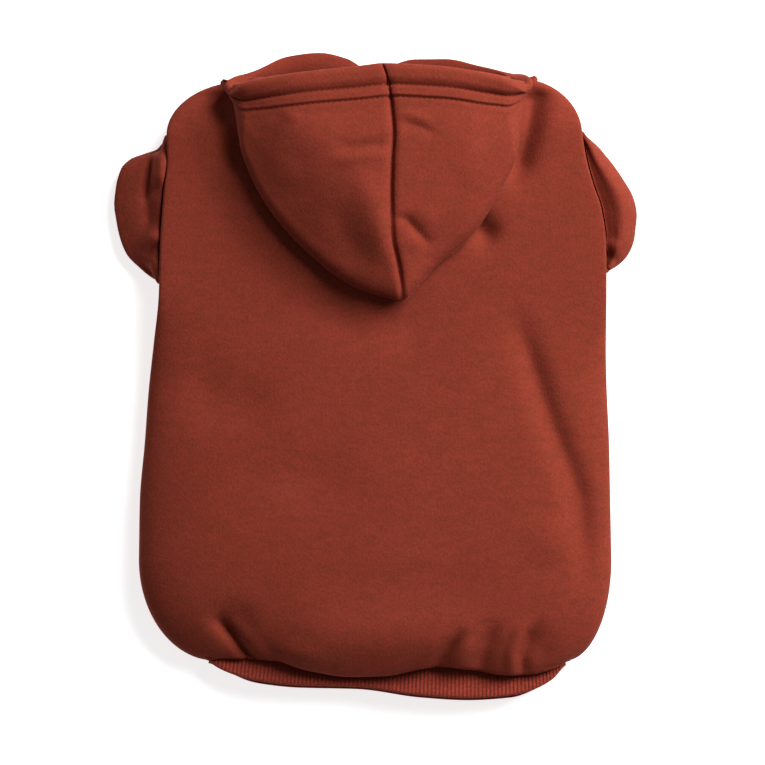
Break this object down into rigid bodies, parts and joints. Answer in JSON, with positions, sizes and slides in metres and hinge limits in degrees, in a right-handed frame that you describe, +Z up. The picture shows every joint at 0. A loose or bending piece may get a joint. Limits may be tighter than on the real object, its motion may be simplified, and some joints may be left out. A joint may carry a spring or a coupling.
{
  "type": "dog hoodie",
  "caption": "Dog's fleece hoodie lying flat on its belly, hood folded back over the back as a pouch, short sleeves tucked under the sides, ribbed waistband",
  "frame": {"origin": "middle of the whole garment's bounding box, on the ground under it", "axes": "+Z up from the ground, +Y towards the neck and hood, +X towards the garment's right side, as it lies on its belly and is seen from above"},
  "size_m": [0.2844, 0.358, 0.047],
  "materials": {
    "fleece": "soft matt sweatshirt fleece, rust red, with a fine knit face",
    "rib": "matt one by one rib knit in the same rust red"
  },
  "bodies": {
    "root": {"back_panel": "fleece", "belly_panel": "fleece", "hood_left": "fleece", "hood_right": "fleece", "sleeve_left": "fleece", "sleeve_right": "fleece", "waistband": "rib"}
  },
  "joints": []
}
